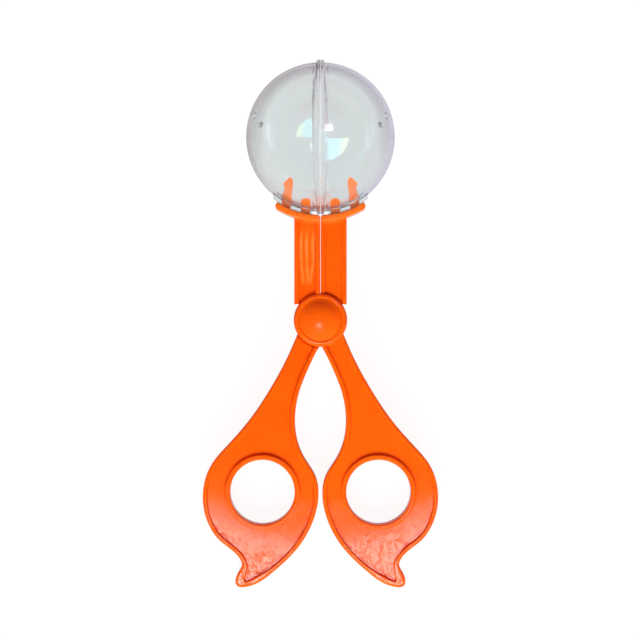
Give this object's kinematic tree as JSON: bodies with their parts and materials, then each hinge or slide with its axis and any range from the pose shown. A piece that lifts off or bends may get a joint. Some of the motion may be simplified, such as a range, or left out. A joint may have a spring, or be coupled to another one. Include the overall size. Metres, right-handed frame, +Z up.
{
  "type": "bug catcher tongs",
  "caption": "Scissor-handled tongs whose jaws each carry half of a clear hollow ball, for catching and viewing insects unharmed.",
  "frame": {"origin": "centre of the footprint, on the surface that the tongs lie on", "axes": "+Y from the handles towards the ball, +Z up off the table on the side of the domed pivot button, +X to the right seen from that side"},
  "size_m": [0.0758, 0.1684, 0.0496],
  "materials": {
    "orange_plastic": "moulded gloss",
    "clear_plastic": "clear polished"
  },
  "bodies": {
    "front_arm": {"arm_front": "orange_plastic", "dome_left": "clear_plastic", "pivot_button": "orange_plastic", "pivot_cap": "orange_plastic"},
    "rear_arm": {"arm_rear": "orange_plastic", "dome_right": "clear_plastic"}
  },
  "joints": [
    {"name": "jaw_pivot", "type": "hinge", "parent": "front_arm", "child": "rear_arm", "pos_m": [0, 0.00111, 0.01577], "axis": [0, 0.153, -0.9882], "range_deg": [0, 65]}
  ]
}
